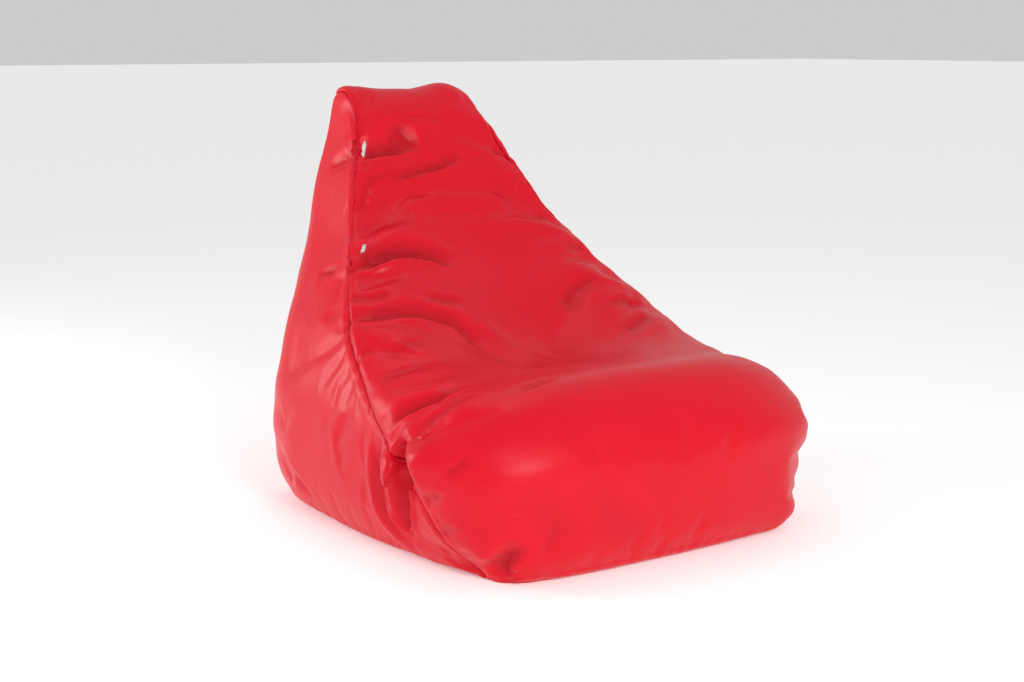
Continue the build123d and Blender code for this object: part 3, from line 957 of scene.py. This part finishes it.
def plated_zinc():
    """Die-cast zinc alloy, tumbled and nickel-plated: bright, with fine scuffs where it rubs."""
    material, tree = new_material("nickel_plated_zinc")
    place = add_node(tree, "ShaderNodeTexCoord").outputs["Object"]
    scuffs = add_node(
        tree, "ShaderNodeTexNoise", {"Vector": place},
        {"Scale": 1 / (1.5 * MM), "Detail": 5.0, "Distortion": 2.0},
    ).outputs["Fac"]
    dull = add_node(tree, "ShaderNodeTexNoise", {"Vector": place}, {"Scale": 1 / (8 * MM)}).outputs["Fac"]
    gloss = add_node(
        tree, "ShaderNodeMapRange", {"Value": scuffs}, {"To Min": 0.18, "To Max": 0.46},
    ).outputs[0]
    tint = add_node(
        tree, "ShaderNodeMix", {FACTOR: dull}, {FIRST: linear("#C9C7C1"), SECOND: linear("#A9A8A4")},
        data_type="RGBA",
    ).outputs[MIXED]
    skin = add_node(tree, "ShaderNodeBump", {"Height": scuffs}, {"Strength": 0.15, "Distance": 0.03 * MM})
    shader = add_node(
        tree, "ShaderNodeBsdfPrincipled",
        {"Base Color": tint, "Roughness": gloss, "Normal": skin.outputs["Normal"]}, {"Metallic": 1.0},
    )
    add_node(tree, "ShaderNodeOutputMaterial", {"Surface": shader.outputs["BSDF"]})
    return material


def woven_label_satin():
    """Satin-woven polyester label ribbon: white, with close lengthwise floats that shine softly."""
    material, tree = new_material("satin_woven_label")
    uv = add_node(tree, "ShaderNodeUVMap", uv_map="threads").outputs["UV"]
    floats = add_node(
        tree, "ShaderNodeTexWave", {"Vector": uv},
        {"Scale": 0.314 / (0.6 * MM), "Distortion": 0.8, "Detail": 1.0},
        bands_direction="X",
    ).outputs["Fac"]
    cloudy = add_node(tree, "ShaderNodeTexNoise", {"Vector": uv}, {"Scale": 1 / (12 * MM)}).outputs["Fac"]
    white = add_node(
        tree, "ShaderNodeMix", {FACTOR: cloudy}, {FIRST: linear("#F3F1EC"), SECOND: linear("#E4E1D9")},
        data_type="RGBA",
    ).outputs[MIXED]
    white = add_node(
        tree, "ShaderNodeMix", {FACTOR: floats, SECOND: white}, {FIRST: linear("#D6D3CB")},
        data_type="RGBA",
    ).outputs[MIXED]
    ribbed = add_node(tree, "ShaderNodeBump", {"Height": floats}, {"Strength": 0.35, "Distance": 0.08 * MM})
    shader = add_node(
        tree, "ShaderNodeBsdfPrincipled", {"Base Color": white, "Normal": ribbed.outputs["Normal"]},
        {"Roughness": 0.4, "IOR": 1.5, "Sheen Weight": 0.2},
    )
    add_node(tree, "ShaderNodeOutputMaterial", {"Surface": shader.outputs["BSDF"]})
    return material


def matte_paper(colour):
    """Matte seamless paper under and behind the bag, with a very faint mottle."""
    material, tree = new_material("matte_paper")
    place = add_node(tree, "ShaderNodeTexCoord").outputs["Object"]
    mottle = add_node(
        tree, "ShaderNodeTexNoise", {"Vector": place}, {"Scale": 4.0, "Detail": 4.0},
    ).outputs["Fac"]
    white = add_node(
        tree, "ShaderNodeMix", {FACTOR: mottle},
        {FIRST: colour, SECOND: tuple(0.985 * c for c in colour[:3]) + (1.0,)}, data_type="RGBA",
    ).outputs[MIXED]
    shader = add_node(
        tree, "ShaderNodeBsdfPrincipled", {"Base Color": white, "Emission Color": white},
        {"Roughness": 0.9, "Emission Strength": 0.3},
    )
    add_node(tree, "ShaderNodeOutputMaterial", {"Surface": shader.outputs["BSDF"]})
    return material


def paint(piece, material):
    """Give every material slot of a piece the same material."""
    if not piece.material_slots:
        piece.data.materials.append(material)
    for place in piece.material_slots:
        place.material = material


def settle(piece, slot, *nodes, body="bag"):
    """Put a finished piece on its body, in place of its CAD nodes. Its finish slot is not used."""
    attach(piece, body)
    if nodes:
        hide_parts(*nodes)
    return piece


LENGTH = {"subtype": "DISTANCE", "unit": "LENGTH"}
COLOUR = {"size": 4, "subtype": "COLOR", "min": 0, "max": 1}


class StageSettings(bpy.types.PropertyGroup):
    lens: FloatProperty(name="Lens", description="Focal length of the camera", default=60.0, min=10.0)
    azimuth: FloatProperty(
        name="Azimuth", description="Where the camera stands round the bag",
        default=math.radians(-35.15), subtype="ANGLE"
    )
    elevation: FloatProperty(
        name="Elevation", description="How far the camera looks down",
        default=math.radians(10.0), subtype="ANGLE"
    )
    distance: FloatProperty(
        name="Distance", description="From the camera to what it looks at", default=3.352, subtype="DISTANCE"
    )
    target: FloatVectorProperty(
        name="Target", description="What the camera looks at", default=(
            -0.024, 0.0, 0.342,
        ), subtype="TRANSLATION"
    )
    floor_colour: FloatVectorProperty(
        name="Floor", description="Colour of the floor", default=linear("#F4F4F4"), **COLOUR
    )
    sky: FloatProperty(name="Sky", description="Brightness of the light from all round", default=0.6, min=0)


class CoverSettings(bpy.types.PropertyGroup):
    cuts_across: IntProperty(
        name="Cuts across", description="Cells across the bag's width and depth", default=104, min=16,
    )
    cuts_up: IntProperty(name="Cuts up", description="Cells up the bag's front", default=52, min=8)
    fill_pressure: FloatProperty(
        name="Fill", description="How hard the beads press on the cloth", default=4.0, min=0,
    )
    fill_frames: IntProperty(
        name="Fill steps", description="Steps for which the cloth is drawn tight", default=15, min=1,
    )
    fill_limit: FloatProperty(
        name="Fill limit", description="The most that the cloth moves while it is drawn tight", default=0.025,
        **LENGTH
    )
    broad_steps: IntProperty(
        name="Broad steps", description="How widely the swelling is averaged before it is taken back",
        default=110, min=1
    )
    broad_share: FloatProperty(
        name="Broad share", description="Share of the broad swelling that is taken back",
        default=0.8, min=0, max=1
    )
    seam_gather: FloatProperty(
        name="Seam gather", description="Share by which the seams shrink", default=0.08, min=0, max=0.5,
    )
    slack: FloatProperty(
        name="Slack", description="Share by which the cloth is cut larger", default=0.01, min=0, max=0.5,
    )
    seam_depth: FloatProperty(
        name="Seam depth", description="How far a seam is drawn in", default=0.0035, **LENGTH
    )
    pucker_depth: FloatProperty(
        name="Pucker depth", description="Height of the puckers beside a seam", default=0.0010, **LENGTH
    )
    thickness: FloatProperty(
        name="Cloth thickness", description="Thickness of the cover's cloth", default=0.0012, **LENGTH
    )
    roughness: FloatProperty(
        name="Roughness", description="Roughness of the cloth's face", default=0.36, min=0, max=1,
    )
    colour: FloatVectorProperty(
        name="Colour", description="Colour of the cover", default=linear("#D60720"), **COLOUR
    )
    rubbed_colour: FloatVectorProperty(
        name="Rubbed colour", description="Colour where the cover is worn",
        default=linear("#E00A26"), **COLOUR
    )
    # Painted shade down in the creases; the same dark red also fills the gaps between the threads.
    crease_shade_and_weave_colour: FloatVectorProperty(
        name="Crease shade and weave colour", description="Painted shade down in the folds, and the dark between the threads", default=linear("#A80014"), **COLOUR
    )


class LinerSettings(bpy.types.PropertyGroup):
    gap: FloatProperty(
        name="Gap", description="From the cover's face to the liner's", default=0.0072, **LENGTH
    )
    thickness: FloatProperty(
        name="Felt thickness", description="Thickness of the liner's felt", default=0.0008, **LENGTH
    )
    colour: FloatVectorProperty(
        name="Colour", description="Colour of the liner", default=linear("#EFEEEA"), **COLOUR
    )


class BeadSettings(bpy.types.PropertyGroup):
    gap: FloatProperty(
        name="Gap", description="From the liner's face to the beads", default=0.0022, **LENGTH
    )
    bead_size: FloatProperty(
        name="Bead size", description="Diameter of a bead", default=0.004, **LENGTH
    )
    colour: FloatVectorProperty(
        name="Colour", description="Colour of the beads", default=linear("#F7F8F8"), **COLOUR
    )


class ZipSettings(bpy.types.PropertyGroup):
    stitch_pitch: FloatProperty(
        name="Stitch pitch", description="From one stitch to the next", default=0.0035, **LENGTH
    )
    thread: FloatProperty(
        name="Thread", description="Diameter of the sewing thread", default=0.0005, **LENGTH
    )
    cover_colour: FloatVectorProperty(
        name="Cover zip", description="Colour of the cover's zip", default=linear("#C41A28"), **COLOUR
    )
    liner_colour: FloatVectorProperty(
        name="Liner zip", description="Colour of the liner's zip", default=linear("#EAE8E2"), **COLOUR
    )


class BagSettings(bpy.types.PropertyGroup):
    stage: PointerProperty(type=StageSettings)
    cover: PointerProperty(type=CoverSettings)
    liner: PointerProperty(type=LinerSettings)
    beads: PointerProperty(type=BeadSettings)
    zips: PointerProperty(type=ZipSettings)


class BEANBAG_OT_stage(bpy.types.Operator):
    """Lay the floor and set up the lights and the camera"""

    bl_idname = "beanbag.stage"
    bl_label = "Stage"

    def execute(self, context):
        settings = context.scene.bean_bag.stage
        bm = bmesh.new()
        bmesh.ops.create_grid(bm, x_segments=1, y_segments=1, size=60)
        mesh = finish_mesh("floor", bm)
        floor = new_piece("floor", mesh)
        paint(floor, matte_paper(settings.floor_colour))
        back = Vector((
            math.sin(settings.azimuth) * math.cos(settings.elevation),
            -math.cos(settings.azimuth) * math.cos(settings.elevation),
            math.sin(settings.elevation),
        ))
        camera = bpy.data.objects.new("camera", bpy.data.cameras.new("camera"))
        context.scene.collection.objects.link(camera)
        camera.data.lens = settings.lens
        camera.location = Vector(settings.target) + back * settings.distance
        camera.rotation_euler = back.to_track_quat("Z", "Y").to_euler()
        context.scene.camera = camera
        # Each softbox: where it stands, what it points at, its width and its power in watts.
        softboxes = (
            ("key_softbox", (-0.9, -3.3, 1.9), (0.0, -0.2, 0.2), 1.1, 62),
            ("left_rim_softbox", (-2.4, 2.0, 1.1), (-0.3, 0.1, 0.3), 1.1, 36),
            ("top_softbox", (0.2, 0.6, 3.4), (0.0, 0.0, 0.3), 1.2, 6),
        )
        for name, place, aim, width, power in softboxes:
            lamp = bpy.data.lights.new(name, "AREA")
            lamp.energy = power
            lamp.size = width
            light = bpy.data.objects.new(name, lamp)
            context.scene.collection.objects.link(light)
            light.location = place
            light.rotation_euler = (Vector(place) - Vector(aim)).to_track_quat("Z", "Y").to_euler()
        world = bpy.data.worlds.new("studio")
        context.scene.world = world
        world.use_nodes = True
        sky = world.node_tree.nodes["Background"]
        sky.inputs["Color"].default_value = (1.0, 1.0, 1.0, 1.0)
        sky.inputs["Strength"].default_value = settings.sky
        context.scene.view_settings.view_transform = "Standard"
        return {"FINISHED"}


class BEANBAG_OT_cover(bpy.types.Operator):
    """Sew and fill the cover: six panels drawn tight over the beads, creased, with a slot for the zip"""

    bl_idname = "beanbag.cover"
    bl_label = "Cover"

    def execute(self, context):
        settings = context.scene.bean_bag.cover
        bag, cube = shape_bag(settings, (settings.cuts_across, settings.cuts_across, settings.cuts_up))
        inner = new_piece(INNER, bag.data.copy())
        mark(inner.data, "where", "FLOAT_VECTOR", cube)
        panels = finish_bag(bag, cube, settings)
        outer = BVHTree.FromPolygons(
            [v.co for v in bag.data.vertices], [f.vertices for f in bag.data.polygons],
        )
        OUTER.append(outer)
        pieces = split_bag(bag, panels, "cover_", ZIP_HEIGHT, ZIP_SLOT, ZIP_HALF, settings.thickness)
        cloth = woven_polyester(settings)
        for name, panel in pieces.items():
            paint(panel, cloth)
            settle(panel, "cover_cloth", f"cover_{name}_panel")
        return {"FINISHED"}


def fit_inner(gap, floor_gap, face, reach):
    """The inner bag drawn in from the cover, clear of the floor, with a flat place for the liner's zip."""
    mesh = bpy.data.objects[INNER].data.copy()
    normals = read_normals(mesh)
    below = np.zeros(len(mesh.vertices))
    mesh.attributes["below"].data.foreach_get("value", below)
    below = spread(mesh, swell(mesh, below, 3)[:, None], 3)
    points = line_inside(mesh, read_points(mesh) - normals * (gap + below), below[:, 0], OUTER[0], gap)
    flatten_band(points, face, LINER_ZIP_SLOT, LINER_ZIP_HEIGHT - reach, LINER_ZIP_HEIGHT + reach, 0.03)
    points[:, 2] = np.maximum(points[:, 2], floor_gap)
    write_points(mesh, points)
    smooth_shade(mesh)
    return mesh, points


class BEANBAG_OT_liner(bpy.types.Operator):
    """Sew the liner that holds the beads, inside the cover"""

    bl_idname = "beanbag.liner"
    bl_label = "Liner"

    def execute(self, context):
        settings = context.scene.bean_bag.liner
        mesh, points = fit_inner(settings.gap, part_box("liner_base_panel")[0].z, LINER_BAND, 0.02)
        cube = read(mesh.attributes["where"].data, "vector")
        panels = panel_of(face_centres(mesh, cube))
        lay_uv(mesh, cube, points, panels)
        pieces = split_bag(
            new_piece(
                "liner", mesh,
            ), panels, "liner_", LINER_ZIP_HEIGHT, LINER_ZIP_SLOT, ZIP_HALF, settings.thickness
        )
        felt = spunbond_polypropylene(settings)
        for name, panel in pieces.items():
            paint(panel, felt)
            settle(panel, "liner_cloth", f"liner_{name}_panel")
        return {"FINISHED"}


class BEANBAG_OT_beads(bpy.types.Operator):
    """Fill the liner with its beads"""

    bl_idname = "beanbag.beads"
    bl_label = "Beads"

    def execute(self, context):
        everything = context.scene.bean_bag
        gap = everything.liner.gap + everything.liner.thickness + everything.beads.gap
        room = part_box("liner_zip_slider")[0].y - 0.0012
        mesh, points = fit_inner(gap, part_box("bead_fill")[0].z, room, 0.026)
        beads = new_piece("bead_heap", mesh)
        paint(beads, expanded_polystyrene(everything.beads))
        settle(beads, "bead_fill", "bead_fill")
        bpy.data.objects.remove(bpy.data.objects[INNER])
        return {"FINISHED"}


def stitch_row(bm, start, end, pitch, thread, lift):
    """A row of stitches from start to end: small rounded threads that just stand out of the cloth."""
    start, end = Vector(start), Vector(end)
    way = (end - start).normalized()
    turn = way.to_track_quat("X", "Y").to_matrix().to_4x4()
    for k in range(max(1, int((end - start).length / pitch))):
        middle = start + way * (k + 0.5) * pitch + Vector((0, lift, 0))
        size = Matrix.Diagonal((0.4 * pitch, thread / 2, thread / 2, 1))
        bmesh.ops.create_icosphere(
            bm, subdivisions=1, radius=1, matrix=Matrix.Translation(middle) @ turn @ size,
        )


def stitching(name, face, height, slot, settings):
    """The stitches that hold a zip: one row above and one below the slot, and a tack across each end."""
    bm = bmesh.new()
    reach, away = slot + 4 * MM, ZIP_HALF + 3 * MM
    for side in (-1, 1):
        z = height + side * away
        stitch_row(
            bm, (-reach, face, z), (reach, face, z), settings.stitch_pitch, settings.thread, 0.1 * MM,
        )
        x = side * reach
        stitch_row(
            bm, (x, face, height - away), (x, face, height + away), settings.stitch_pitch, settings.thread,
            0.1 * MM,
        )
    mesh = finish_mesh(name, bm)
    smooth_shade(mesh)
    return new_piece(name, mesh)


def tape(name, node, inner_edge):
    """One half of a zip's tape: a thin woven strip, corded beside the teeth and bevelled at its rim."""
    low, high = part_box(node)
    bm = bmesh.new()
    bmesh.ops.create_cube(bm, size=1)
    for axis, cuts in ((0, 47), (2, 7)):
        along = [e for e in bm.edges if abs(e.verts[0].co[axis] - e.verts[1].co[axis]) > 0.9]
        bmesh.ops.subdivide_edges(bm, edges=along, cuts=cuts, use_grid_fill=True)
    size, middle = high - low, (high + low) / 2
    bmesh.ops.scale(bm, verts=bm.verts, vec=size)
    bmesh.ops.translate(bm, verts=bm.verts, vec=middle)
    # The weave is thicker next to the teeth, where the cord lies, and thins out towards the outer edge.
    for vert in bm.verts:
        share = abs(vert.co.z - (low.z if inner_edge < 0 else high.z)) / size.z
        vert.co.y = middle.y + (vert.co.y - middle.y) * (1 if share < 0.2 else 0.72)
    rim = [e for e in bm.edges if e.calc_face_angle(0) > 1]
    bmesh.ops.bevel(bm, geom=rim, offset=0.2 * MM, affect="EDGES", segments=2, profile=0.5, material=-1)
    mesh = finish_mesh(name, bm)
    smooth_shade(mesh)
    return new_piece(name, mesh)


class BEANBAG_OT_zips(bpy.types.Operator):
    """Weave the zips' tapes, stitch them in and finish their teeth, stops, sliders and pull"""

    bl_idname = "beanbag.zips"
    bl_label = "Zips"

    def execute(self, context):
        settings = context.scene.bean_bag.zips
        metal = plated_zinc()
        for bag, face, height, slot, colour, shade in (
            ("cover", BAND, ZIP_HEIGHT, ZIP_SLOT, settings.cover_colour, linear("#9E0E1B")),
            (
                "liner", LINER_BAND, LINER_ZIP_HEIGHT, LINER_ZIP_SLOT, settings.liner_colour,
                linear("#CFCCC4"),
            ),
        ):
            woven = woven_tape(f"twill_woven_tape_{bag}", colour, shade)
            teeth = moulded_acetal(f"moulded_acetal_{bag}", colour, shade)
            for half, side in (("upper", -1), ("lower", 1)):
                piece = tape(f"{bag}_zip_tape_{half}_woven", f"{bag}_zip_tape_{half}", side)
                paint(piece, woven)
                settle(piece, f"{bag}_zip_tape", f"{bag}_zip_tape_{half}")
                paint(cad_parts[f"{bag}_zip_teeth_{half}"], teeth)
            for part in ("top_stops", "bottom_stop", "slider"):
                paint(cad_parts[f"{bag}_zip_{part}"], metal)
            sewn = stitching(f"{bag}_zip_stitching", face, height, slot, settings)
            paint(sewn, woven)
            settle(sewn, f"{bag}_zip_tape")
        paint(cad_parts["cover_zip_pull"], metal)
        return {"FINISHED"}


class BEANBAG_OT_label(bpy.types.Operator):
    """Hang the blank care label in the seam beside the cover's zip"""

    bl_idname = "beanbag.label"
    bl_label = "Care label"

    def execute(self, context):
        settings = context.scene.bean_bag.zips
        low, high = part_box("care_label")
        width, length = high.x - low.x, high.z - low.z
        bm = bmesh.new()
        bmesh.ops.create_grid(bm, x_segments=24, y_segments=32, size=0.5)
        bmesh.ops.rotate(bm, verts=bm.verts, matrix=Matrix.Rotation(math.radians(90), 3, "X"))
        bmesh.ops.scale(bm, verts=bm.verts, vec=(width, 1, length))
        bmesh.ops.translate(
            bm, verts=bm.verts, vec=((low.x + high.x) / 2, low.y + 0.3 * MM, (low.z + high.z) / 2),
        )
        # It lifts off the cloth towards its free end, and its left corner curls most.
        for vert in bm.verts:
            down = (high.z - vert.co.z) / length
            left = (high.x - vert.co.x) / width
            vert.co.y += 2.6 * MM * down ** 2 * (0.5 + 0.5 * left) + 0.5 * MM * down * math.sin(
                7 * left + 2 * down
            )
        mesh = finish_mesh("care_label_woven", bm)
        flat = read_points(mesh)[corner_points(mesh)][:, [0, 2]]
        mesh.uv_layers.new(name="threads").data.foreach_set("uv", flat.ravel())
        smooth_shade(mesh)
        label = new_piece("care_label_woven", mesh)
        wall = label.modifiers.new("Cloth thickness", "SOLIDIFY")
        wall.thickness = 0.35 * MM
        wall.offset = 0
        paint(label, woven_label_satin())
        settle(label, "label_cloth", "care_label")
        bm = bmesh.new()
        stitch_row(
            bm, (low.x + 2 * MM, low.y + 0.5 * MM, high.z - 3 * MM), (
                high.x - 2 * MM, low.y + 0.5 * MM, high.z - 3 * MM,
            ),
            settings.stitch_pitch, settings.thread, 0,
        )
        mesh = finish_mesh("care_label_stitching", bm)
        smooth_shade(mesh)
        sewn = new_piece("care_label_stitching", mesh)
        paint(sewn, bpy.data.materials["twill_woven_tape_cover"])
        settle(sewn, "label_cloth")
        return {"FINISHED"}


class BEANBAG_PT_sidebar(bpy.types.Panel):
    """Every step of the bag, in the order in which it is made"""

    bl_idname = "BEANBAG_PT_sidebar"
    bl_label = "Bean Bag Lounger"
    bl_space_type = "VIEW_3D"
    bl_region_type = "UI"
    bl_category = "Bean Bag"

    def draw(self, context):
        for step in STEPS:
            self.layout.operator(step.bl_idname)
        for name in ("stage", "cover", "liner", "beads", "zips"):
            group = getattr(context.scene.bean_bag, name)
            box = self.layout.box()
            box.label(text=name.capitalize())
            for setting in group.__annotations__:
                box.prop(group, setting)


STEPS = (
    BEANBAG_OT_stage, BEANBAG_OT_cover, BEANBAG_OT_liner, BEANBAG_OT_beads, BEANBAG_OT_zips, BEANBAG_OT_label,
)
SETTINGS = (StageSettings, CoverSettings, LinerSettings, BeadSettings, ZipSettings, BagSettings)


def register():
    for kind in (*SETTINGS, *STEPS, BEANBAG_PT_sidebar):
        bpy.utils.register_class(kind)
    bpy.types.Scene.bean_bag = PointerProperty(type=BagSettings)


def unregister():
    del bpy.types.Scene.bean_bag
    for kind in reversed((*SETTINGS, *STEPS, BEANBAG_PT_sidebar)):
        bpy.utils.unregister_class(kind)


def main():
    register()
    bpy.ops.beanbag.stage()
    bpy.ops.beanbag.cover()
    bpy.ops.beanbag.liner()
    bpy.ops.beanbag.beads()
    bpy.ops.beanbag.zips()
    bpy.ops.beanbag.label()


if __name__ == "__main__":
    main()
